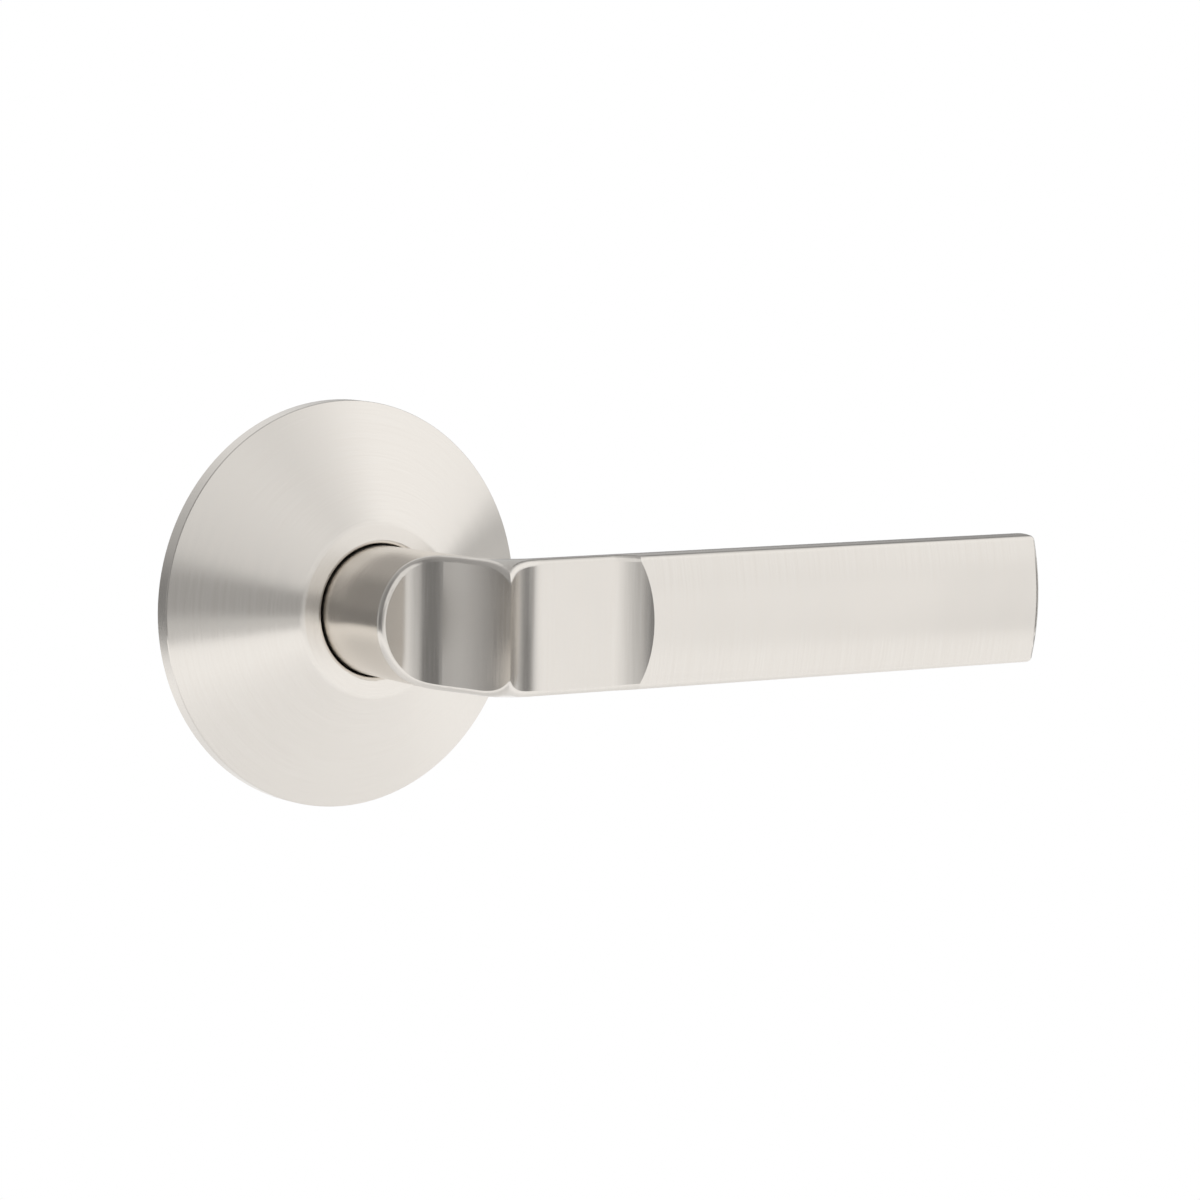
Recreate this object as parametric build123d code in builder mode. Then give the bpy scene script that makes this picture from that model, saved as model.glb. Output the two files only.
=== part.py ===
from build123d import *

import os
from math import asin, cos, degrees, hypot, pi, radians, sin, sqrt, tan

# Door lever handle on a round rose, with the sprung fixing set that carries it.
# Origin: on the door's face, on the axis that the lever turns about.
# +Z is up, the lever points along +X, and -Y is away from the door, towards the room.
# A "depth" below is a distance from the door's face into the room, so it lies at y = -depth.

# Rose
rose_radius = 39.7
rose_rim = 3.2
rose_wall = 1.8
cone_height = 12.4
lip_width = 4.1
lip_rise = 0.6
lip_round = 0.7
cone_round = 3.0
rim_round = 0.3
neck_gap = 0.3

# Lever: a round rod bent square, with its front cut away
neck_base = 12.5
neck_radius = 12.95
rod_depth = 54.4
bend_radius = 10.0
lever_reach = 129.1
grip_rise = 4.9
crown_radius = 43.0
ledge_depth = 36.7
ledge_edge = 7.9
cove_radius = 6.5
cove_sweep = 72.0
ridge_reach = 0.8
ridge_rise = 6.0
floor_drop = 3.1
dish_radius = 14.0
scoop_radius = 11.0
rim_reach = 34.3
edge_round = 1.2
least_slant = 0.1

# Shank, spindle and set screw
shank_radius = 9.0
flat_depth = 1.5
running_fit = 0.04
press_gap = 0.02
slip_gap = 0.05
axial_play = 0.1
spindle_size = 8.0
spindle_reach = 52.0
spindle_chamfer = 0.6
socket_end = 28.0
set_screw_depth = 22.0
set_screw_radius = 2.5
set_screw_length = 7.6
set_screw_key = 2.5

# Mounting plate, snap ring and posts
plate_thickness = 1.6
plate_gap = 0.4
snap_wire = 0.9
snap_bite = 0.35
snap_opening = 24.0
post_circle = 44.0
post_radius = 3.0
post_length = 22.0
post_spigot = 2.2
post_head = 3.4
post_thread = 1.65
head_height = 0.8

# Spring housing, its cover and bushes
hub_wall = 3.3
hub_front = 7.4
bush_wall = 1.6
flange_width = 1.9
flange_thickness = 1.0
washer_thickness = 0.9
floor_thickness = 1.5
cage_wall = 1.6
fan_margin = 16.0
cover_thickness = 1.5
ear_radius = 2.6
ear_step = 2.2
ear_angle = 30.0
screw_radius = 1.25
screw_head = 2.2
screw_length = 6.5
rivet_radius = 1.0
rivet_head = 1.6
rivet_angle = 35.0
rivet_ear_step = 2.8
rivet_gap = 0.5

# Return spring, cam and stops
wire = 1.6
turn_gap = 0.6
turns = 3
coil_clearance = 0.5
coil_end_gap = 1.0
lug_half_width = 2.2
lug_gap = 0.6
lug_depth = 3.7
leg_gap = 0.8
cam_thickness = 3.0
cam_lip = 0.7
cam_gap = 0.4
tongue_gap = 0.9
tongue_height = 2.5
swing = 45.0
stop_radius = 1.5
stop_gap = 0.25
stop_reach = 3.4

# Rings behind the cover
curved_rise = 0.8
curved_thickness = 0.4
backing_thickness = 1.0
backing_width = 2.4
ring_thickness = 1.2
ring_width = 2.4
groove_depth = 1.0
ring_opening = 70.0
ring_ear = 1.9
ring_ear_hole = 0.8
shank_tail = 2.0

# Places worked out from the sizes above
pivot_depth = rod_depth - bend_radius
grip_front = rod_depth + grip_rise
ridge_depth = rod_depth + ridge_rise
floor_depth = grip_front - floor_drop
lip_depth = rose_rim + cone_height
hub_depth = lip_depth + lip_rise
neck_rear = hub_front + flange_thickness + washer_thickness + axial_play
neck_growth = (neck_radius - neck_base) / (pivot_depth - neck_rear)
hole_radius = neck_base + neck_growth * (hub_depth - neck_rear) + neck_gap
lip_radius = hole_radius + lip_width
cone_slope = cone_height / (rose_radius - lip_radius)
wall_drop = rose_wall * hypot(1, cone_slope)
rim_inner = rose_radius - rose_wall
plate_radius = rim_inner - plate_gap
snap_depth = plate_thickness / 2
snap_radius = rim_inner + snap_bite
bush_inner = shank_radius + running_fit
bush_outer = bush_inner + bush_wall
hub_radius = bush_outer + hub_wall
flange_radius = bush_outer + flange_width
backing_radius = bush_outer + backing_width
ring_radius = shank_radius + ring_width
groove_radius = shank_radius - groove_depth
shank_flats = 2 * (shank_radius - flat_depth)
coil_radius = bush_outer + coil_clearance + wire / 2
pitch = wire + turn_gap
first_turn = -(floor_thickness + coil_end_gap + wire / 2)
last_turn = first_turn - turns * pitch
cam_front = last_turn - wire / 2 - cam_gap
cam_rear = cam_front - cam_thickness
cage_depth = cam_rear - axial_play - flange_thickness
cover_rear = cage_depth - cover_thickness
curved_front = cover_rear - axial_play
backing_front = curved_front - curved_rise - curved_thickness
ring_front = backing_front - backing_thickness - axial_play
shank_end = ring_front - ring_thickness - shank_tail
leg_x = lug_half_width + slip_gap + wire / 2
leg_foot = coil_radius + leg_x
tongue_inner = leg_foot + tongue_gap
tongue_outer = tongue_inner + tongue_height
lug_inner = tongue_outer + lug_gap
cage_reach = lug_inner + lug_depth + cage_wall
leg_end = cage_reach - cage_wall - leg_gap
cam_radius = coil_radius + wire / 2 + cam_lip
cage_core = cam_radius + cam_gap + cage_wall
ear_circle = cage_core + ear_step
rivet_circle = cage_reach - cage_wall - rivet_head - rivet_gap
rivet_ear_drop = cage_core + rivet_ear_step
stop_circle = (tongue_inner + tongue_outer) / 2
stop_angle = swing + degrees(asin((lug_half_width + stop_radius + stop_gap) / stop_circle))
cage_half_angle = stop_angle + fan_margin

# Profile plane: local x is the radius (or X), local y is the depth
profile = Plane(origin=(0, 0, 0), x_dir=(1, 0, 0), z_dir=(0, 0, -1))


def across(depth):
    """Plane across the turning axis at a depth: local x is X, local y is Z, extrudes go outward."""
    return Plane.XZ.offset(depth)


def around(radius, angle):
    """Point on a circle about the turning axis, the angle counted from straight up."""
    return (radius * sin(radians(angle)), radius * cos(radians(angle)))


def cone_inside(radius):
    """Depth of the rose's inner cone at a radius."""
    return rose_rim + (rose_radius - radius) * cone_slope - wall_drop


post_places = [(-post_circle / 2, 0), (post_circle / 2, 0)]
rivet_places = [around(rivet_circle, -rivet_angle), around(rivet_circle, rivet_angle), (0, -rivet_ear_drop)]
lug_screw = (0, (lug_inner + cage_reach - cage_wall) / 2)
ear_places = [around(ear_circle, 180 - ear_angle), around(ear_circle, 180 + ear_angle)]
screw_places = [lug_screw] + ear_places
stop_places = [around(stop_circle, -stop_angle), around(stop_circle, stop_angle)]

os.makedirs("parts", exist_ok=True)


def finish(builder, name):
    """Name a finished piece and write it."""
    builder.part.label = name
    export_step(builder.part, f"parts/{name}.step")


# Rose: a spun shell, cylindrical rim, straight cone and a rounded lip round the neck
with BuildPart() as rose:
    with BuildSketch(profile):
        with BuildLine():
            Polyline(
                (rose_radius, 0),
                (rose_radius, rose_rim),
                (lip_radius, lip_depth),
                (hole_radius, hub_depth),
                (hole_radius, hub_depth - rose_wall),
                (lip_radius - rose_wall * cone_slope, cone_inside(lip_radius - rose_wall * cone_slope)),
                (rim_inner, cone_inside(rim_inner)),
                (rim_inner, 0),
                close=True,
            )
        make_face()
        fillet(vertices().sort_by_distance((lip_radius, lip_depth))[0], cone_round)
        fillet(vertices().sort_by_distance((hole_radius, hub_depth))[0], lip_round)
        fillet(vertices().sort_by_distance((rose_radius, rose_rim))[0], rim_round)
        with Locations((rim_inner + snap_bite / 2, snap_depth)):
            Rectangle(snap_bite + slip_gap, snap_wire + 2 * slip_gap, mode=Mode.SUBTRACT)
    revolve(axis=Axis.Y)
finish(rose, "rose")

# Mounting plate: a stamped disc on the door, grooved at its edge for the snap ring
with BuildPart() as mounting_plate:
    with BuildSketch(across(0)):
        Circle(plate_radius)
        Circle(hub_radius + slip_gap, mode=Mode.SUBTRACT)
        with Locations(*post_places):
            Circle(post_spigot + press_gap, mode=Mode.SUBTRACT)
        with Locations(*rivet_places):
            Circle(rivet_radius + press_gap, mode=Mode.SUBTRACT)
    extrude(amount=plate_thickness)
    with BuildSketch(profile):
        with Locations((plate_radius, snap_depth)):
            Rectangle(2 * (plate_radius - snap_radius + snap_wire + slip_gap), snap_wire + 2 * slip_gap)
    revolve(axis=Axis.Y, mode=Mode.SUBTRACT)
finish(mounting_plate, "mounting_plate")

# Snap ring: square wire that joins the rose to the plate, open at the bottom
with BuildPart() as rose_snap_ring:
    with BuildSketch(across(snap_depth - snap_wire / 2)):
        Circle(snap_radius)
        Circle(snap_radius - snap_wire, mode=Mode.SUBTRACT)
        with Locations((0, -snap_radius)):
            Rectangle(snap_opening, rose_radius, mode=Mode.SUBTRACT)
    extrude(amount=snap_wire)
finish(rose_snap_ring, "rose_snap_ring")

# Fixing posts: headed through the plate, tapped all along from behind for the through bolts
with BuildPart() as fixing_posts:
    with BuildSketch(across(-post_length)):
        with Locations(*post_places):
            Circle(post_radius)
            Circle(post_thread, mode=Mode.SUBTRACT)
    extrude(amount=post_length)
    with BuildSketch(across(0)):
        with Locations(*post_places):
            Circle(post_spigot)
    extrude(amount=plate_thickness)
    with BuildSketch(across(plate_thickness)):
        with Locations(*post_places):
            Circle(post_head)
    extrude(amount=head_height)
finish(fixing_posts, "fixing_posts")

# Outline shared by the spring housing and its cover: a round core and a fan for the cam's tongue
with BuildSketch(Plane.XY) as cage_fan:
    with BuildLine():
        fan_arc = CenterArc((0, 0), cage_reach, 90 - cage_half_angle, 2 * cage_half_angle)
        Line((0, 0), fan_arc @ 0)
        Line(fan_arc @ 1, (0, 0))
    make_face()
    Circle(cage_core)

# Spring housing: a die casting in the door's bore, whose hub passes through the plate
with BuildPart() as spring_housing:
    with BuildSketch(across(cage_depth)):
        add(cage_fan.sketch_local)
        with Locations(*ear_places):
            Circle(ear_radius)
    extrude(amount=-cage_depth)
    with BuildSketch(across(cage_depth)):
        add(cage_fan.sketch_local)
        offset(amount=-cage_wall)
        with Locations((0, (lug_inner + cage_reach) / 2)):
            Rectangle(2 * lug_half_width, cage_reach - lug_inner, mode=Mode.SUBTRACT)
    extrude(amount=-cage_depth - floor_thickness, mode=Mode.SUBTRACT)
    with BuildSketch(across(-floor_thickness)):
        with Locations((0, -rivet_ear_drop)):
            Circle(ear_radius)
        with Locations((0, -rivet_ear_drop + ear_radius)):
            Rectangle(2 * ear_radius, 2 * ear_radius)
    extrude(amount=floor_thickness)
    with BuildSketch(across(0)):
        Circle(hub_radius)
    extrude(amount=hub_front)
    with BuildSketch(across(cage_depth)):
        Circle(bush_outer + press_gap)
    extrude(amount=hub_front - cage_depth, mode=Mode.SUBTRACT)
    with BuildSketch(across(-floor_thickness)):
        with Locations(*rivet_places):
            Circle(rivet_radius + press_gap)
    extrude(amount=floor_thickness, mode=Mode.SUBTRACT)
    with BuildSketch(across(cage_depth)):
        with Locations(*screw_places):
            Circle(screw_radius + press_gap)
    extrude(amount=screw_length, mode=Mode.SUBTRACT)
finish(spring_housing, "spring_housing")

# Rivets that hold the housing to the plate
with BuildPart() as housing_rivets:
    with BuildSketch(across(-floor_thickness)):
        with Locations(*rivet_places):
            Circle(rivet_radius)
    extrude(amount=floor_thickness + plate_thickness)
    with BuildSketch(across(plate_thickness)):
        with Locations(*rivet_places):
            Circle(rivet_head)
    extrude(amount=head_height)
    with BuildSketch(across(-floor_thickness - head_height)):
        with Locations(*rivet_places):
            Circle(rivet_head)
    extrude(amount=head_height)
finish(housing_rivets, "housing_rivets")


def bush(flange_front, sleeve_end):
    """Flanged bearing sleeve on the shank, from the flange's front face back to the sleeve's end."""
    with BuildPart() as sleeve:
        with BuildSketch(across(flange_front - flange_thickness)):
            Circle(flange_radius)
            Circle(bush_inner, mode=Mode.SUBTRACT)
        extrude(amount=flange_thickness)
        with BuildSketch(across(sleeve_end)):
            Circle(bush_outer)
            Circle(bush_inner, mode=Mode.SUBTRACT)
        extrude(amount=flange_front - sleeve_end)
    return sleeve


# Front bush: pressed into the hub, its long sleeve also guides the return spring
front_bush = bush(hub_front + flange_thickness, cam_front + cam_gap)
finish(front_bush, "front_bush")

# Rear bush: pressed into the cover, flange inside
rear_bush = bush(cage_depth + flange_thickness, cover_rear)
finish(rear_bush, "rear_bush")


def plain_ring(outer, inner, rear, thickness):
    """Flat ring about the turning axis, from a rear depth forwards."""
    with BuildPart() as ring:
        with BuildSketch(across(rear)):
            Circle(outer)
            Circle(inner, mode=Mode.SUBTRACT)
        extrude(amount=thickness)
    return ring


# Thrust washer: plastic, between the neck's shoulder and the front bush
washer_rear = hub_front + flange_thickness
thrust_washer = plain_ring(flange_radius, shank_radius + neck_gap, washer_rear, washer_thickness)
finish(thrust_washer, "thrust_washer")


def biarc(start, heading, end, arrival):
    """Two arcs that leave start along heading, meet smoothly and reach end along arrival."""
    chord = end - start
    both = heading + arrival
    spread = 2 * (1 - heading.dot(arrival))
    along = chord.dot(both)
    reach = (sqrt(along**2 + spread * chord.dot(chord)) - along) / spread
    first = start + heading * reach
    second = end - arrival * reach
    middle = (first + second) * 0.5
    TangentArc(start, middle, tangent=heading)
    TangentArc(middle, end, tangent=(second - first).normalized())


def coil_point(turn):
    """Point on the coil's centre line, turns counted from the top, clockwise seen from the room."""
    angle = 2 * pi * turn
    depth = first_turn - pitch * turn
    return Vector(coil_radius * sin(angle), -depth, coil_radius * cos(angle))


def coil_heading(turn):
    """Direction of the coil's centre line there."""
    angle = 2 * pi * turn
    lead = pitch / (2 * pi)
    return Vector(coil_radius * cos(angle), lead, -coil_radius * sin(angle)).normalized()


# Return spring: a torsion coil whose two legs grip the housing's lug and the cam's tongue
up = Vector(0, 0, 1)
front_leg = Vector(-leg_x, -first_turn, leg_foot)
rear_leg = Vector(leg_x, -last_turn, leg_foot)
halves = [half / 2 for half in range(2 * turns + 1)]
with BuildPart() as return_spring:
    with BuildLine() as spring_path:
        Line((-leg_x, -first_turn, leg_end), front_leg)
        biarc(front_leg, -up, coil_point(0), coil_heading(0))
        for here, there in zip(halves, halves[1:]):
            biarc(coil_point(here), coil_heading(here), coil_point(there), coil_heading(there))
        biarc(coil_point(turns), coil_heading(turns), rear_leg, up)
        Line(rear_leg, (leg_x, -last_turn, leg_end))
    with BuildSketch(Plane(origin=(-leg_x, -first_turn, leg_end), z_dir=(0, 0, -1))):
        Circle(wire / 2)
    sweep()
finish(return_spring, "return_spring")

spring_wire = spring_path.wires()[0]
spring_steps = 400
spring_points = [spring_wire @ (step / spring_steps) for step in range(spring_steps + 1)]
apart = int(spring_steps * 2 * pi * coil_radius / spring_wire.length / 2)
spring_gap = min(
    (spring_points[i] - spring_points[j]).length
    for i in range(spring_steps + 1)
    for j in range(i + apart, spring_steps + 1)
)
print(f"return spring: least gap to itself {spring_gap - wire:.2f} mm, length {spring_wire.length:.1f} mm")

# Spring cam: keyed on the shank's flats, its tongue lies between the spring's legs
with BuildPart() as spring_cam:
    with BuildSketch(across(cam_rear)):
        Circle(cam_radius)
        with Locations((0, tongue_outer / 2)):
            Rectangle(2 * lug_half_width, tongue_outer)
    extrude(amount=cam_thickness)
    with BuildSketch(across(cam_front)):
        with Locations((0, (tongue_inner + tongue_outer) / 2)):
            Rectangle(2 * lug_half_width, tongue_outer - tongue_inner)
    extrude(amount=first_turn + wire / 2 - cam_front)
    with BuildSketch(across(cam_rear)):
        Circle(shank_radius + slip_gap)
        Rectangle(shank_flats + 2 * slip_gap, 3 * shank_radius, mode=Mode.INTERSECT)
    extrude(amount=cam_thickness, mode=Mode.SUBTRACT)
finish(spring_cam, "spring_cam")

# Housing cover: a stamped lid, with seats for the rear bush, the stops and the screws
with BuildPart() as housing_cover:
    with BuildSketch(across(cover_rear)):
        add(cage_fan.sketch_local)
        with Locations(*ear_places):
            Circle(ear_radius)
        Circle(bush_outer + press_gap, mode=Mode.SUBTRACT)
        with Locations(*stop_places):
            Circle(stop_radius + press_gap, mode=Mode.SUBTRACT)
        with Locations(*screw_places):
            Circle(screw_radius + press_gap, mode=Mode.SUBTRACT)
    extrude(amount=cover_thickness)
finish(housing_cover, "housing_cover")

# Stop pins: pressed into the cover, they meet the cam's arm at each end of the swing
with BuildPart() as stop_pins:
    with BuildSketch(across(cover_rear)):
        with Locations(*stop_places):
            Circle(stop_radius)
    extrude(amount=cover_thickness + stop_reach)
finish(stop_pins, "stop_pins")

# Cover screws
with BuildPart() as cover_screws:
    with BuildSketch(across(cover_rear)):
        with Locations(*screw_places):
            Circle(screw_radius)
    extrude(amount=cover_thickness + screw_length - axial_play)
    with BuildSketch(across(cover_rear - screw_head / 2)):
        with Locations(*screw_places):
            Circle(screw_head)
    extrude(amount=screw_head / 2)
finish(cover_screws, "cover_screws")

# Curved washer: a bowed spring washer that takes up the end play
with BuildPart() as curved_washer:
    with BuildSketch(profile):
        with BuildLine():
            bow = ThreePointArc(
                (-backing_radius, curved_front - curved_rise - curved_thickness),
                (0, curved_front - curved_thickness),
                (backing_radius, curved_front - curved_rise - curved_thickness),
            )
            top_bow = bow.moved(Location((0, curved_thickness, 0)))
            add(top_bow)
            Line(bow @ 0, top_bow @ 0)
            Line(bow @ 1, top_bow @ 1)
        make_face()
    extrude(amount=backing_radius, both=True)
    with BuildSketch(across(backing_front)):
        Circle(flange_radius)
        Circle(shank_radius + neck_gap, mode=Mode.SUBTRACT)
    extrude(amount=curved_front - backing_front, mode=Mode.INTERSECT)
finish(curved_washer, "curved_washer")

# Backing washer behind it
backing_washer = plain_ring(
    backing_radius, shank_radius + neck_gap, backing_front - backing_thickness, backing_thickness
)
finish(backing_washer, "backing_washer")

# Retaining ring: sits in the shank's groove, open at the bottom, with two ears for pliers
with BuildPart() as retaining_ring:
    ear_turn = ring_opening / 2 + degrees(asin(ring_ear / ring_radius))
    ear_reach = ring_radius - ring_ear / 2
    ear_spots = [around(ear_reach, 180 - ear_turn), around(ear_reach, 180 + ear_turn)]
    gap_half = ring_radius * tan(radians(ring_opening / 2))
    with BuildSketch(across(ring_front - ring_thickness)):
        Circle(ring_radius)
        with Locations(*ear_spots):
            Circle(ring_ear)
        Circle(groove_radius + slip_gap, mode=Mode.SUBTRACT)
        with BuildLine():
            Polyline((0, 0), (gap_half, -ring_radius), (gap_half, -2 * ring_radius),
                     (-gap_half, -2 * ring_radius), (-gap_half, -ring_radius), close=True)
        make_face(mode=Mode.SUBTRACT)
        with Locations(*ear_spots):
            Circle(ring_ear_hole, mode=Mode.SUBTRACT)
    extrude(amount=ring_thickness)
finish(retaining_ring, "retaining_ring")


def climb_run(radius, rise):
    """How far a round of a radius runs along X while it climbs from a level floor."""
    return sqrt(rise * (2 * radius - rise))


def cuts_front(face):
    """True for a face that stands upright and looks into the room."""
    look = face.normal_at(face.center())
    return look.Y < -least_slant and abs(look.Z) < least_slant


def outline(group):
    """Edges that belong to only one face of a group."""
    every = group.edges()
    return [edge for edge in every if sum(edge.is_same(other) for other in every) == 1]


# Lever: slightly tapered neck, square bend and bar in one rod; a crown is cut along the bar's front,
# then a ledge, a cove, a hollow wall, a ridge and a scoop that ends at the grip's crisp rim
with BuildPart() as lever:
    with BuildSketch(profile):
        with BuildLine():
            Polyline((0, neck_rear), (neck_base, neck_rear), (neck_radius, pivot_depth),
                     (0, pivot_depth), close=True)
        make_face()
    revolve(axis=Axis.Y)
    with BuildSketch(Plane.YZ.offset(bend_radius)):
        with Locations((-rod_depth, 0)):
            Circle(neck_radius)
    extrude(amount=lever_reach - bend_radius)
    with BuildSketch(Plane(origin=(bend_radius, -pivot_depth, 0), x_dir=(-1, 0, 0), z_dir=(0, 1, 0))):
        with Locations((bend_radius, 0)):
            Circle(neck_radius)
        with Locations((-neck_radius, 0)):
            Rectangle(2 * neck_radius, 2 * neck_radius, mode=Mode.SUBTRACT)
    revolve(axis=Axis((bend_radius, -pivot_depth, 0), (0, 0, 1)), revolution_arc=90)
    with BuildSketch(Plane.YZ.offset(bend_radius)):
        with Locations((-grip_front, 0)):
            Rectangle(2 * neck_radius, 2 * neck_radius)
        with Locations((crown_radius - grip_front, 0)):
            Circle(crown_radius, mode=Mode.SUBTRACT)
    extrude(amount=lever_reach - bend_radius, mode=Mode.SUBTRACT)
    with BuildSketch(profile):
        with BuildLine():
            ridge_run = climb_run(dish_radius, ridge_depth - floor_depth)
            near = ridge_reach + ridge_run
            far = rim_reach - climb_run(scoop_radius, floor_drop)
            ridge_turn = degrees(asin(ridge_run / dish_radius))
            flank_end = floor_depth + scoop_radius
            clear_depth = rod_depth + 2 * neck_radius
            Line((-2 * neck_radius, ledge_depth), (-ledge_edge, ledge_depth))
            cove = CenterArc((-ledge_edge, ledge_depth + cove_radius), cove_radius, 270, cove_sweep)
            TangentArc(cove @ 1, (ridge_reach, ridge_depth), tangent=cove % 1)
            CenterArc((near, floor_depth + dish_radius), dish_radius, 270, -ridge_turn)
            Line((near, floor_depth), (far, floor_depth))
            CenterArc((far, flank_end), scoop_radius, 270, 90)
            Polyline((far + scoop_radius, flank_end), (far + scoop_radius, clear_depth),
                     (-2 * neck_radius, clear_depth), (-2 * neck_radius, ledge_depth))
        make_face()
    extrude(amount=2 * neck_radius, both=True, mode=Mode.SUBTRACT)
    tip_edges = faces().sort_by(Axis.X)[-1].edges().sort_by(Axis.Y)
    fillet(outline(faces().filter_by(cuts_front)) + tip_edges[1:], edge_round)
    with BuildSketch(across(shank_end)):
        Circle(shank_radius)
    extrude(amount=neck_rear - shank_end)
    with BuildSketch(across(shank_end)):
        Circle(2 * shank_radius)
        Rectangle(shank_flats, 4 * shank_radius, mode=Mode.SUBTRACT)
    extrude(amount=cam_front + axial_play - shank_end, mode=Mode.SUBTRACT)
    with BuildSketch(across(ring_front - ring_thickness - slip_gap)):
        Circle(2 * shank_radius)
        Circle(groove_radius, mode=Mode.SUBTRACT)
    extrude(amount=ring_thickness + 2 * slip_gap, mode=Mode.SUBTRACT)
    with BuildSketch(across(shank_end)):
        Rectangle(spindle_size + 2 * slip_gap, spindle_size + 2 * slip_gap)
    extrude(amount=socket_end - shank_end, mode=Mode.SUBTRACT)
    with BuildSketch(Plane.XY.offset(-neck_radius)):
        with Locations((0, -set_screw_depth)):
            Circle(set_screw_radius)
    extrude(amount=neck_radius - spindle_size / 2, mode=Mode.SUBTRACT)
finish(lever, "lever")

# Spindle: square bar that carries the turn into the latch and the handle on the far side
with BuildPart() as spindle:
    with BuildSketch(across(-spindle_reach)):
        Rectangle(spindle_size, spindle_size)
    extrude(amount=spindle_reach + socket_end - neck_gap)
    ends = faces().sort_by(Axis.Y)
    chamfer(ends[0].edges() + ends[-1].edges(), spindle_chamfer)
finish(spindle, "spindle")

# Set screw: from under the neck, its point on the spindle
with BuildPart() as set_screw:
    with BuildSketch(Plane.XY.offset(-spindle_size / 2)):
        with Locations((0, -set_screw_depth)):
            Circle(set_screw_radius - slip_gap)
    extrude(amount=-set_screw_length)
    with BuildSketch(Plane.XY.offset(-spindle_size / 2 - set_screw_length)):
        with Locations((0, -set_screw_depth)):
            RegularPolygon(set_screw_key / 2, 6, major_radius=False)
    extrude(amount=set_screw_key, mode=Mode.SUBTRACT)
finish(set_screw, "set_screw")
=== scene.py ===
import math

import bpy
import numpy as np
from mathutils import Matrix, Vector


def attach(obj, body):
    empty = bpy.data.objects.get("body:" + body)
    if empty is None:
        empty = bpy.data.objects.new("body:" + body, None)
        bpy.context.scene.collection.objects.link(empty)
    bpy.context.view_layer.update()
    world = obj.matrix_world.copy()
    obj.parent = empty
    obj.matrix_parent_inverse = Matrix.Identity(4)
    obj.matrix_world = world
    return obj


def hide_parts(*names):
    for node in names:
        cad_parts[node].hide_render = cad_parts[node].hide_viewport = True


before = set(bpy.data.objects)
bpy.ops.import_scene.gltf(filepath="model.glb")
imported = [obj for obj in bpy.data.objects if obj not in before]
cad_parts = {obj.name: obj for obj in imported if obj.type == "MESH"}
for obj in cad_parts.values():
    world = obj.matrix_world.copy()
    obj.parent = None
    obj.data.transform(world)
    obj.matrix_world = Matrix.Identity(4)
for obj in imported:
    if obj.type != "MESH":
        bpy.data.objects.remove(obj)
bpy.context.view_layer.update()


# Mounting plate: a disc stamped from spangled zinc-coated steel, that lies flat on the door.
# The two fixing posts, plated steel, are headed into it and take the bolts from the far side.
def graph(name, colour, metallic):
    """Starts a material: its node tree, its shader and the point on the piece in the part's frame."""
    material = bpy.data.materials.new(name)
    material.use_nodes = True
    tree = material.node_tree
    shader = tree.nodes["Principled BSDF"]
    shader.inputs["Base Color"].default_value = (*colour, 1)
    shader.inputs["Metallic"].default_value = metallic
    place = tree.nodes.new("ShaderNodeTexCoord").outputs["Object"]
    return material, tree, shader, place


def grain(tree, place, scale, detail=3.0):
    """Cloudy noise of a given number of clouds per metre; gives the socket of its value."""
    node = tree.nodes.new("ShaderNodeTexNoise")
    node.inputs["Scale"].default_value = scale
    node.inputs["Detail"].default_value = detail
    tree.links.new(place, node.inputs["Vector"])
    return node.outputs["Fac"]


def spread(tree, value, low, high, start=0.3, end=0.7):
    """Carries a value from one range to another, held at both ends."""
    node = tree.nodes.new("ShaderNodeMapRange")
    for slot, number in zip(("From Min", "From Max", "To Min", "To Max"), (start, end, low, high)):
        node.inputs[slot].default_value = number
    tree.links.new(value, node.inputs["Value"])
    return node.outputs["Result"]


def tint(tree, shader, value, dark, light):
    """Base colour that runs from a dark tone to a light one with a value."""
    node = tree.nodes.new("ShaderNodeMix")
    node.data_type = "RGBA"
    node.inputs["A"].default_value = (*dark, 1)
    node.inputs["B"].default_value = (*light, 1)
    tree.links.new(value, node.inputs["Factor"])
    tree.links.new(node.outputs["Result"], shader.inputs["Base Color"])


def roughen(tree, shader, value, low, high, start=0.3, end=0.7):
    """Roughness that runs from low to high with a value."""
    tree.links.new(spread(tree, value, low, high, start, end), shader.inputs["Roughness"])


def relief(tree, shader, value, height):
    """Fine relief of a height in metres from a value."""
    node = tree.nodes.new("ShaderNodeBump")
    node.inputs["Strength"].default_value = 1.0
    node.inputs["Distance"].default_value = height
    tree.links.new(value, node.inputs["Height"])
    tree.links.new(node.outputs["Normal"], shader.inputs["Normal"])


def dress(material, *names):
    """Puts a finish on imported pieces."""
    for name in names:
        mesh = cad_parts[name].data
        mesh.materials.clear()
        mesh.materials.append(material)


zinc_clouds, zinc_specks, spangle_flakes = 160, 2600, 210  # per metre
plating_relief = 0.000006

zinc_plate, tree, shader, place = graph("zinc_plate", colour=(0.62, 0.63, 0.64), metallic=1.0)
cloud = grain(tree, place, zinc_clouds)
tint(tree, shader, spread(tree, cloud, 0, 1), dark=(0.55, 0.56, 0.58), light=(0.68, 0.68, 0.67))
roughen(tree, shader, cloud, low=0.26, high=0.42)
relief(tree, shader, grain(tree, place, zinc_specks), plating_relief)
dress(zinc_plate, "fixing_posts")

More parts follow.
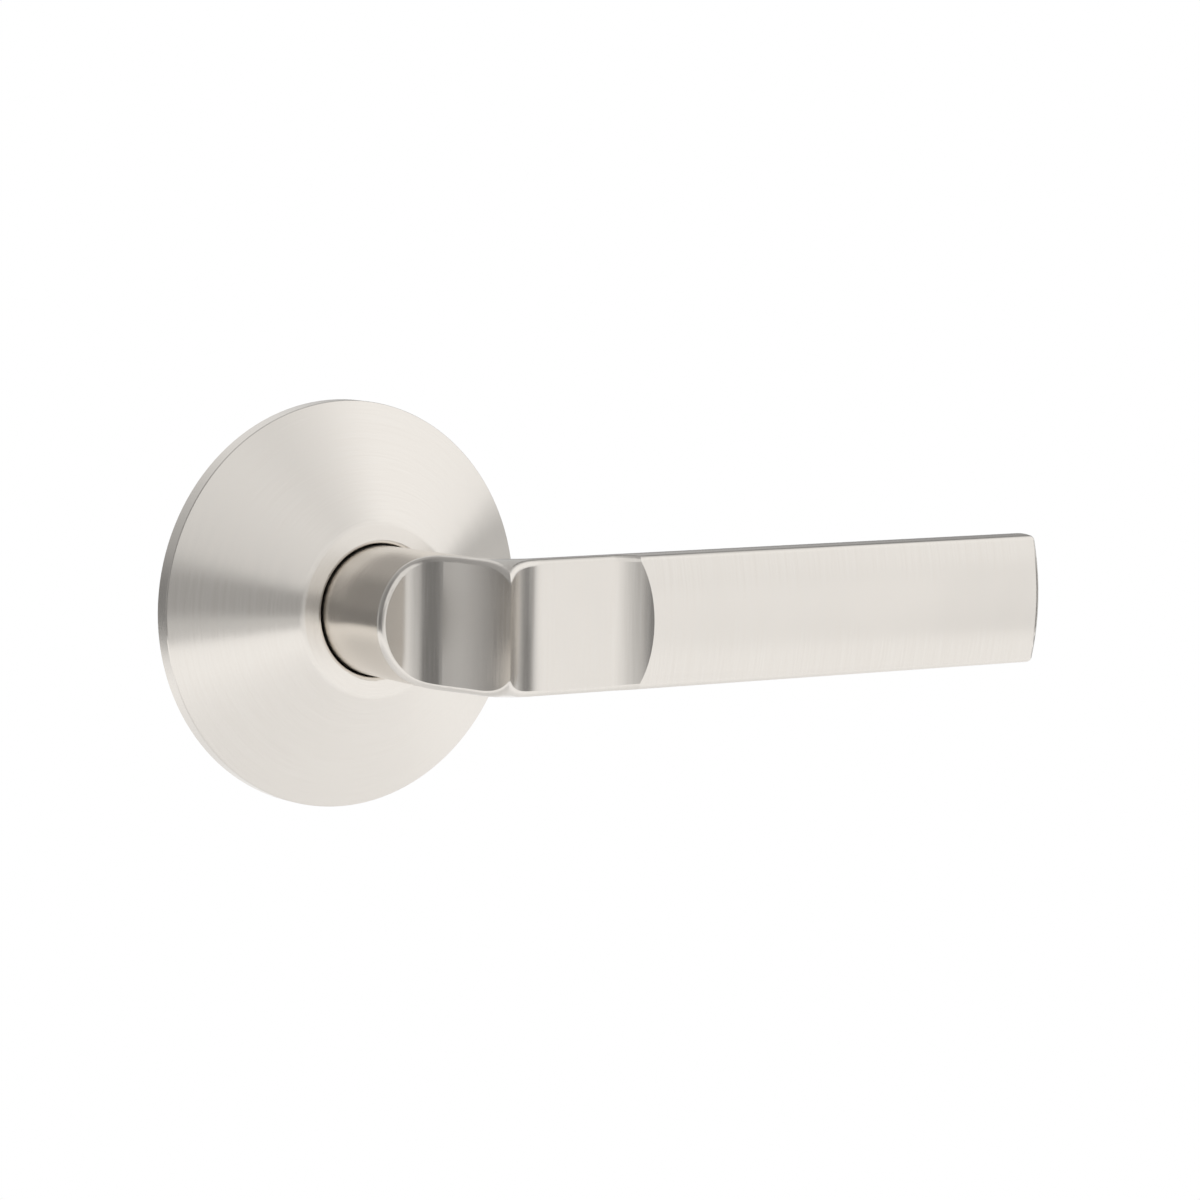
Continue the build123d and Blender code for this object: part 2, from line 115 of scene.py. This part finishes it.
spangled_zinc, tree, shader, place = graph("spangled_zinc", colour=(0.47, 0.48, 0.50), metallic=1.0)
flakes = tree.nodes.new("ShaderNodeTexVoronoi")
flakes.inputs["Scale"].default_value = spangle_flakes
tree.links.new(place, flakes.inputs["Vector"])
flake = tree.nodes.new("ShaderNodeSeparateColor")
tree.links.new(flakes.outputs["Color"], flake.inputs[0])
tint(tree, shader, flake.outputs["Red"], dark=(0.40, 0.41, 0.43), light=(0.50, 0.51, 0.53))
roughen(tree, shader, flake.outputs["Green"], low=0.34, high=0.46, start=0.0, end=1.0)
relief(tree, shader, grain(tree, place, zinc_specks), plating_relief)
dress(spangled_zinc, "mounting_plate")

# Spring housing: a zinc die casting in the door's bore, its hub through the plate.
# Three plated steel rivets hold it to the plate.
casting_skin, casting_flow = 1500, 70  # per metre
casting_detail = 5
casting_relief = 0.00004
raw_casting, tree, shader, place = graph("raw_casting", colour=(0.58, 0.58, 0.59), metallic=1.0)
skin = grain(tree, place, casting_skin, casting_detail)
flow = grain(tree, place, casting_flow)
tint(tree, shader, spread(tree, flow, 0, 1), dark=(0.50, 0.50, 0.51), light=(0.63, 0.63, 0.64))
roughen(tree, shader, skin, low=0.48, high=0.66)
relief(tree, shader, skin, casting_relief)
dress(raw_casting, "spring_housing")
dress(zinc_plate, "housing_rivets")

# Bushes: rings of sintered bronze with open pores, pressed into the hub and into the cover.
# The lever's shank turns in them.
bronze_pores, bronze_clouds = 5200, 240  # per metre
pore_detail = 2
pore_relief = 0.00001
sintered, tree, shader, place = graph("sintered_bronze", colour=(0.60, 0.42, 0.24), metallic=1.0)
pores = spread(tree, grain(tree, place, bronze_pores, pore_detail), 0, 1, start=0.36, end=0.46)
tint(tree, shader, pores, dark=(0.24, 0.16, 0.09), light=(0.62, 0.44, 0.26))
roughen(tree, shader, grain(tree, place, bronze_clouds), low=0.38, high=0.54)
relief(tree, shader, pores, pore_relief)
dress(sintered, "front_bush", "rear_bush")

# Return spring: oiled spring wire, wound in three turns with two legs.
# The snap ring that holds the rose is made of the same hard steel.
oil_clouds, wire_marks = 260, 4200  # per metre
wire_relief = 0.000006
spring_wire, tree, shader, place = graph("spring_wire", colour=(0.42, 0.42, 0.43), metallic=1.0)
oil = grain(tree, place, oil_clouds)
tint(tree, shader, spread(tree, oil, 0, 1), dark=(0.33, 0.32, 0.31), light=(0.50, 0.50, 0.51))
roughen(tree, shader, oil, low=0.22, high=0.40)
relief(tree, shader, grain(tree, place, wire_marks), wire_relief)
dress(spring_wire, "return_spring", "rose_snap_ring")

# Spring cam: a disc of plated steel, stamped, with a tongue that stands between the spring's legs.
# It is keyed on the flats of the lever's shank.
dress(zinc_plate, "spring_cam")


# Housing cover: a stamped and faced steel lid, bright zinc plated, that closes the spring housing.
# Two drawn steel pins, pressed into it, end the swing.
def math_node(tree, operation, first, second=None):
    """One sum on sockets or plain numbers; gives the socket of its result."""
    node = tree.nodes.new("ShaderNodeMath")
    node.operation = operation
    for slot, value in zip(node.inputs, (first, second)):
        if isinstance(value, bpy.types.NodeSocket):
            tree.links.new(value, slot)
        elif value is not None:
            slot.default_value = value
    return node.outputs[0]


def from_axis(tree, place, mask):
    """Way from an axis to a point, by a mask that is 0 along the axis; gives its vector and length."""
    flat = tree.nodes.new("ShaderNodeVectorMath")
    flat.operation = "MULTIPLY"
    flat.inputs[1].default_value = mask
    tree.links.new(place, flat.inputs[0])
    size = tree.nodes.new("ShaderNodeVectorMath")
    size.operation = "LENGTH"
    tree.links.new(flat.outputs[0], size.inputs[0])
    return flat.outputs[0], size.outputs["Value"]


def joined(tree, x, y=None, z=None):
    """Vector of up to three sockets."""
    node = tree.nodes.new("ShaderNodeCombineXYZ")
    for slot, value in zip(node.inputs, (x, y, z)):
        if value is not None:
            tree.links.new(value, slot)
    return node.outputs[0]


round_spindle = (1, 0, 1)
facing_lines = 3200  # per metre of radius
facing_relief = 0.000003
faced_zinc, tree, shader, place = graph("faced_zinc", colour=(0.68, 0.69, 0.70), metallic=1.0)
_, radius = from_axis(tree, place, round_spindle)
lines = grain(tree, joined(tree, math_node(tree, "MULTIPLY", radius, facing_lines)), 1.0)
tint(tree, shader, spread(tree, lines, 0, 1), dark=(0.63, 0.64, 0.66), light=(0.74, 0.74, 0.74))
roughen(tree, shader, lines, low=0.24, high=0.34)
relief(tree, shader, lines, facing_relief)
dress(faced_zinc, "housing_cover")

drawing_lines = (3600, 60, 3600)  # per metre, long along the bar
drawing_relief = 0.000005
drawn_steel, tree, shader, place = graph("drawn_steel", colour=(0.55, 0.55, 0.56), metallic=1.0)
axes = tree.nodes.new("ShaderNodeMapping")
axes.inputs["Scale"].default_value = drawing_lines
tree.links.new(place, axes.inputs["Vector"])
lines = grain(tree, axes.outputs["Vector"], 1.0)
tint(tree, shader, spread(tree, lines, 0, 1), dark=(0.49, 0.49, 0.50), light=(0.60, 0.60, 0.61))
roughen(tree, shader, lines, low=0.27, high=0.40)
relief(tree, shader, lines, drawing_relief)
dress(drawn_steel, "stop_pins")


# Cover screws: three pan-head screws of zinc plated steel with a cross recess.
# They are driven through the cover into the casting.
def pan_screws(name, places, foot, seat, crown, shank, head):
    """Screws along +Y: rings of a profile (shank, flat underside, domed head) carried round each axis.

    The dome falls with the third power of the radius. The recess is a cross, deepest in the middle:
    a point sinks where its smaller offset is within the slot's half width and its larger one within
    the slot's half length."""
    rise = crown - seat
    wall, point = 0.55 * rise, 0.16 * shank
    slot_half, slot_reach, slot_edge = 0.14 * head, 0.62 * head, 0.04 * head
    slot_depth, slot_climb = 0.85, 0.5
    dome = np.linspace(head, 0, 46)[1:-1]
    stem_radius = [shank - point, shank, shank, head, head]
    stem_height = [foot, foot + point, seat, seat, seat + wall]
    radius = np.concatenate([stem_radius, dome])
    height = np.concatenate([stem_height, seat + wall + (rise - wall) * (1 - (dome / head) ** 3)])
    turn = np.linspace(0, 2 * math.pi, 96, endpoint=False)
    x = radius[:, None] * np.sin(turn)[None, :]
    z = radius[:, None] * np.cos(turn)[None, :]
    y = np.repeat(height[:, None], turn.size, axis=1)
    narrow = np.minimum(np.abs(x), np.abs(z))
    wide = np.maximum(np.abs(x), np.abs(z))
    sink = np.clip((slot_half - narrow) / slot_edge, 0, 1) * np.clip((slot_reach - wide) / slot_edge, 0, 1)
    sink = sink * rise * (slot_depth - slot_climb * wide / slot_reach)
    on_dome = (np.arange(radius.size) >= len(stem_radius))[:, None]
    y = y - sink * on_dome
    poles = np.array([[0, foot, 0], [0, crown - slot_depth * rise, 0]])
    one = np.concatenate([np.stack([x, y, z], axis=-1).reshape(-1, 3), poles])
    index = np.arange(radius.size * turn.size).reshape(radius.size, turn.size)
    after = np.roll(index, -1, axis=1)
    sides = np.stack([index[:-1], after[:-1], after[1:], index[1:]], axis=-1).reshape(-1, 4)
    tip, eye = one.shape[0] - 2, one.shape[0] - 1
    below = np.stack([np.full(turn.size, tip), after[0], index[0]], axis=-1)
    above = np.stack([np.full(turn.size, eye), index[-1], after[-1]], axis=-1)
    steps = np.array([[px, 0, pz] for px, pz in places])
    points = (one[None, :, :] + steps[:, None, :]).reshape(-1, 3)
    shift = (np.arange(len(places)) * one.shape[0])[:, None, None]
    faces = [(block[None] + shift).reshape(-1, block.shape[1]).tolist() for block in (sides, below, above)]
    mesh = bpy.data.meshes.new(name)
    mesh.from_pydata(points.tolist(), [], faces[0] + faces[1] + faces[2])
    mesh.shade_smooth()
    mesh.set_sharp_from_angle(angle=0.6)
    piece = bpy.data.objects.new(name, mesh)
    bpy.context.collection.objects.link(piece)
    return piece


screw_places = [(0.0, 0.02084), (0.00882, -0.01528), (-0.00882, -0.01528)]
lid_screws = pan_screws("lid_screws", screw_places, foot=0.0088, seat=0.0167, crown=0.0178,
                        shank=0.00125, head=0.0022)
lid_screws.data.materials.append(zinc_plate)
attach(lid_screws, "fixed_set")
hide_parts("cover_screws")

# Thrust washer: a turned ring of natural acetal.
# It lies loose between the neck's shoulder and the front bush.
acetal_haze, acetal_marks = 320, 3000  # per metre
acetal_relief = 0.000008
acetal, tree, shader, place = graph("natural_acetal", colour=(0.86, 0.85, 0.81), metallic=0.0)
haze = grain(tree, place, acetal_haze)
tint(tree, shader, spread(tree, haze, 0, 1), dark=(0.83, 0.82, 0.77), light=(0.88, 0.87, 0.84))
roughen(tree, shader, haze, low=0.40, high=0.52)
relief(tree, shader, grain(tree, place, acetal_marks), acetal_relief)
dress(acetal, "thrust_washer")

# Lever: one forged and turned rod, bent square and cut away in front, satin nickel plated.
# It is brushed across its length: upright on the front, round the rod elsewhere. The brush marks
# are counted along the neck, round the bend's pivot and along the bar.
bend_x, pivot_depth, bend_radius = 0.0100, 0.0444, 0.018
brush_lines, brush_depth, brush_height = 4200.0, 60.0, 90.0  # per metre along, into and up the lever
handling_clouds, handling_sway = 45, 0.015
brush_relief = 0.0000016
satin_nickel, tree, shader, place = graph("satin_nickel", colour=(0.83, 0.79, 0.74), metallic=1.0)
parts = tree.nodes.new("ShaderNodeSeparateXYZ")
tree.links.new(place, parts.inputs[0])
depth = math_node(tree, "MULTIPLY", parts.outputs["Y"], -1.0)
past_x = math_node(tree, "SUBTRACT", parts.outputs["X"], bend_x)
past_depth = math_node(tree, "SUBTRACT", depth, pivot_depth)
before = math_node(tree, "MAXIMUM", math_node(tree, "MULTIPLY", past_x, -1.0), 0.0)
beyond = math_node(tree, "MAXIMUM", past_depth, 0.0)
turn = math_node(tree, "ARCTAN2", beyond, before)
along_bar = math_node(tree, "MAXIMUM", past_x, 0.0)
along_neck = math_node(tree, "MINIMUM", past_depth, 0.0)
run = math_node(tree, "ADD", along_bar, along_neck)
run = math_node(tree, "ADD", run, math_node(tree, "MULTIPLY", turn, bend_radius))
stroke = joined(tree, math_node(tree, "MULTIPLY", run, brush_lines),
                math_node(tree, "MULTIPLY", parts.outputs["Y"], brush_depth),
                math_node(tree, "MULTIPLY", parts.outputs["Z"], brush_height))
lines = grain(tree, stroke, 1.0)
cloud = grain(tree, place, handling_clouds)
tint(tree, shader, spread(tree, lines, 0, 1), dark=(0.815, 0.773, 0.72), light=(0.85, 0.812, 0.762))
rough = math_node(tree, "ADD", spread(tree, lines, 0.19, 0.25),
                  spread(tree, cloud, -handling_sway, handling_sway))
tree.links.new(rough, shader.inputs["Roughness"])
relief(tree, shader, lines, brush_relief)
heading = joined(tree, math_node(tree, "SINE", turn),
                 math_node(tree, "MULTIPLY", math_node(tree, "COSINE", turn), -1.0))
tree.links.new(heading, shader.inputs["Tangent"])
shader.inputs["Anisotropic"].default_value = 0.6
dress(satin_nickel, "lever")

# Rings behind the cover: a bowed washer of spring steel takes up end play, a flat plated washer
# backs it, and a black oxide ring in the shank's groove holds the lever in.
dress(spring_wire, "curved_washer")
dress(zinc_plate, "backing_washer")
oxide_bloom, oxide_specks = 420, 3600  # per metre
oxide_relief = 0.000006
black_oxide, tree, shader, place = graph("black_oxide", colour=(0.06, 0.06, 0.065), metallic=0.85)
bloom = grain(tree, place, oxide_bloom)
tint(tree, shader, spread(tree, bloom, 0, 1), dark=(0.045, 0.045, 0.05), light=(0.085, 0.083, 0.085))
roughen(tree, shader, bloom, low=0.34, high=0.50)
relief(tree, shader, grain(tree, place, oxide_specks), oxide_relief)
dress(black_oxide, "retaining_ring")

# Spindle: a drawn steel bar, 8 mm square, that carries the turn into the latch.
# The set screw, black oxide steel, is driven in from under the neck and bears on it.
dress(drawn_steel, "spindle")
dress(black_oxide, "set_screw")

# Rose: a spun brass plate with a straight cone and a rounded lip, satin nickel plated.
# It snaps over the mounting plate and is brushed round its axis.
spinning_lines, spinning_wander = 3800.0, 2.5  # per metre of radius, and per unit round the axis
spun_nickel, tree, shader, place = graph("spun_nickel", colour=(0.87, 0.83, 0.775), metallic=1.0)
outward, radius = from_axis(tree, place, round_spindle)
ray = tree.nodes.new("ShaderNodeVectorMath")
ray.operation = "NORMALIZE"
tree.links.new(outward, ray.inputs[0])
ray_parts = tree.nodes.new("ShaderNodeSeparateXYZ")
tree.links.new(ray.outputs[0], ray_parts.inputs[0])
stroke = joined(tree, math_node(tree, "MULTIPLY", radius, spinning_lines),
                math_node(tree, "MULTIPLY", ray_parts.outputs["X"], spinning_wander),
                math_node(tree, "MULTIPLY", ray_parts.outputs["Z"], spinning_wander))
lines = grain(tree, stroke, 1.0)
tint(tree, shader, spread(tree, lines, 0, 1), dark=(0.855, 0.812, 0.757), light=(0.89, 0.85, 0.797))
roughen(tree, shader, lines, low=0.19, high=0.25)
relief(tree, shader, lines, brush_relief)
tree.links.new(outward, shader.inputs["Tangent"])
shader.inputs["Anisotropic"].default_value = 0.93
dress(spun_nickel, "rose")


# Studio: a light tent round the part, sewn from panels of five greys: a white front panel to the
# right of the camera, dark gaps on both sides, a lighter strip on each side and pale cloth above.
# It is not seen by the camera itself, only by the metal.
def globe(radius, rows, columns):
    """Sphere on a grid of two angles: height from the sine of one, a circle of its cosine from the other."""
    lift = np.linspace(-math.pi / 2, math.pi / 2, rows)[:, None]
    swing = np.linspace(0, 2 * math.pi, columns, endpoint=False)[None, :]
    points = np.stack([np.cos(lift) * np.cos(swing), np.cos(lift) * np.sin(swing),
                       np.sin(lift) * np.ones_like(swing)], axis=-1)
    return radius * points


def grid_mesh(name, points):
    """Mesh of a grid of points that closes on itself along its second direction."""
    rows, columns = points.shape[:2]
    index = np.arange(rows * columns).reshape(rows, columns)
    right = np.roll(index, -1, axis=1)
    faces = np.stack([index[:-1], right[:-1], right[1:], index[1:]], axis=-1).reshape(-1, 4)
    mesh = bpy.data.meshes.new(name)
    mesh.from_pydata(points.reshape(-1, 3).tolist(), [], faces.tolist())
    piece = bpy.data.objects.new(name, mesh)
    bpy.context.collection.objects.link(piece)
    return piece


def bare_graph(name):
    """Starts a studio material with no shader yet: its node tree and the point on the piece."""
    material = bpy.data.materials.new(name)
    material.use_nodes = True
    tree = material.node_tree
    tree.nodes.remove(tree.nodes["Principled BSDF"])
    return material, tree, tree.nodes.new("ShaderNodeTexCoord").outputs["Object"]


tent_radius = 1.8
tent = grid_mesh("light_tent", globe(tent_radius, rows=25, columns=48))
cloth, tree, place = bare_graph("tent_cloth")
parts = tree.nodes.new("ShaderNodeSeparateXYZ")
tree.links.new(place, parts.inputs[0])
bearing = math_node(tree, "ARCTAN2", math_node(tree, "MULTIPLY", parts.outputs["X"], -1.0),
                    math_node(tree, "MULTIPLY", parts.outputs["Y"], -1.0))
bearing = math_node(tree, "ADD", math_node(tree, "DIVIDE", bearing, 2 * math.pi), 0.5)


def panel_ring(levels):
    """Grey levels round the tent, each at a bearing in degrees from the room side towards the left."""
    ramp = tree.nodes.new("ShaderNodeValToRGB")
    for stop, (angle, level) in enumerate(levels):
        if stop < 2:
            element = ramp.color_ramp.elements[stop]
        else:
            element = ramp.color_ramp.elements.new(1.0)
        element.position = angle / 360 + 0.5
        element.color = (level, level, level, 1)
    tree.links.new(bearing, ramp.inputs["Fac"])
    return ramp.outputs["Color"]


def stack(lower, upper, start, end):
    """Blends one ring into the next between two heights on the tent."""
    node = tree.nodes.new("ShaderNodeMix")
    node.data_type = "RGBA"
    tree.links.new(spread(tree, parts.outputs["Z"], 0, 1, start, end), node.inputs["Factor"])
    tree.links.new(lower, node.inputs["A"])
    tree.links.new(upper, node.inputs["B"])
    return node.outputs["Result"]


white_cloth, pale_cloth, mid_cloth, grey_cloth, dark_cloth = 1.0, 0.8, 0.6, 0.4, 0.2
right_side = [(-180, dark_cloth), (-119, dark_cloth), (-93, pale_cloth), (-70, dark_cloth),
              (-54, dark_cloth), (-45, white_cloth), (-28, white_cloth)]
left_side = [(95, dark_cloth), (117, mid_cloth), (140, dark_cloth), (180, dark_cloth)]
table_ring = panel_ring(right_side + [(24, pale_cloth), (40, dark_cloth)] + left_side)
waist_ring = panel_ring(right_side + [(14, grey_cloth), (30, grey_cloth), (42, dark_cloth)] + left_side)
upper_ring = panel_ring([(-180, pale_cloth), (-160, pale_cloth), (-128, dark_cloth), (-92, white_cloth),
                         (-48, white_cloth), (-10, pale_cloth), (28, pale_cloth), (44, dark_cloth),
                         (150, grey_cloth), (180, pale_cloth)])
top_ring = panel_ring([(-180, grey_cloth), (180, grey_cloth)])
tent_levels = stack(table_ring, waist_ring, start=-0.27, end=-0.17)
tent_levels = stack(tent_levels, upper_ring, start=0.15, end=0.34)
tent_levels = stack(tent_levels, top_ring, start=1.35, end=1.7)
glow = tree.nodes.new("ShaderNodeEmission")
tree.links.new(tent_levels, glow.inputs["Color"])
tree.links.new(glow.outputs[0], tree.nodes["Material Output"].inputs["Surface"])
tent.data.materials.append(cloth)
tent.visible_camera = False


# Floor: a round sheet of pale matt paper, laid flat below the part.
# It keeps a soft shadow in the middle and fades into the white behind it.
def disc(radius, height, rows, columns):
    """Flat disc on a grid: the way out from its middle along one direction, the angle along the other."""
    reach = np.linspace(0, radius, rows)[:, None]
    swing = np.linspace(0, 2 * math.pi, columns, endpoint=False)[None, :]
    return np.stack([reach * np.cos(swing), reach * np.sin(swing), np.full((rows, columns), height)], axis=-1)


def seen_rays(tree):
    """Is 1 for rays of the camera, of reflections and through glass, and 0 for the rest."""
    rays = tree.nodes.new("ShaderNodeLightPath")
    seen = math_node(tree, "MAXIMUM", rays.outputs["Is Camera Ray"], rays.outputs["Is Glossy Ray"])
    return math_node(tree, "MAXIMUM", seen, rays.outputs["Is Transmission Ray"])


floor_radius, floor_height = 0.8, -0.22
fade_start, fade_end, middle_white = 0.22, 0.44, 0.30
upright = (1, 1, 0)
floor = grid_mesh("floor", disc(floor_radius, floor_height, rows=9, columns=48))
paper, tree, place = bare_graph("pale_paper")
_, reach = from_axis(tree, place, upright)
share = spread(tree, reach, middle_white, 1.0, fade_start, fade_end)
white = tree.nodes.new("ShaderNodeEmission")
matt = tree.nodes.new("ShaderNodeBsdfDiffuse")
matt.inputs["Color"].default_value = (0.9, 0.9, 0.9, 1)
blend = tree.nodes.new("ShaderNodeMixShader")
tree.links.new(math_node(tree, "MULTIPLY", seen_rays(tree), share), blend.inputs[0])
tree.links.new(matt.outputs[0], blend.inputs[1])
tree.links.new(white.outputs[0], blend.inputs[2])
tree.links.new(blend.outputs[0], tree.nodes["Material Output"].inputs["Surface"])
floor.data.materials.append(paper)

# Soft box: one wide lamp that faces down, to the right of the part and in front of it.
# It gives the floor its shadow and doesn't show in the metal.
box_lamp = bpy.data.lights.new("soft_box", "AREA")
box_lamp.shape = "RECTANGLE"
box_lamp.size = 0.9
box_lamp.size_y = 0.7
box_lamp.energy = 10.0
soft_box = bpy.data.objects.new("soft_box", box_lamp)
soft_box.location = (0.7, -0.75, 0.6)
soft_box.visible_glossy = False
bpy.context.collection.objects.link(soft_box)

# World: white behind everything that is looked at or reflected,
# and a little dimmer as a light.
light_strength, white_strength = 0.8, 1.0
world = bpy.data.worlds.new("white")
world.use_nodes = True
tree = world.node_tree
strength = spread(tree, seen_rays(tree), light_strength, white_strength, start=0.0, end=1.0)
tree.links.new(strength, tree.nodes["Background"].inputs["Strength"])
tree.nodes["Background"].inputs["Color"].default_value = (1, 1, 1, 1)
bpy.context.scene.world = world
bpy.context.scene.view_settings.view_transform = "Standard"

# Camera: a long lens, a little above the lever and well to its left, as the photograph was taken.
# Its place is given by two angles and a distance, and by how far it stands to the right and up.
swing, lift, roll = math.radians(-34.90234), math.radians(5.99789), math.radians(0.84330)
distance, shift_right, shift_up = 0.9787526, 0.0516766, 0.0004949
sensor_mm, focal_pixels, frame_pixels = 36, 5018.4907, 1200
right = Vector((math.cos(swing), math.sin(swing), 0))
up = Vector((-math.sin(swing) * math.sin(lift), math.cos(swing) * math.sin(lift), math.cos(lift)))
back = Vector((math.sin(swing) * math.cos(lift), -math.cos(swing) * math.cos(lift), math.sin(lift)))
across = math.cos(roll) * right + math.sin(roll) * up
upward = math.cos(roll) * up - math.sin(roll) * right
spot = shift_right * across + shift_up * upward + distance * back
lens = bpy.data.cameras.new("camera")
lens.sensor_width = sensor_mm
lens.lens = sensor_mm * focal_pixels / frame_pixels
lens.clip_start = 0.05
camera = bpy.data.objects.new("camera", lens)
camera.matrix_world = Matrix((
    (across.x, upward.x, back.x, spot.x),
    (across.y, upward.y, back.y, spot.y),
    (across.z, upward.z, back.z, spot.z),
    (0, 0, 0, 1)))
bpy.context.collection.objects.link(camera)
bpy.context.scene.camera = camera
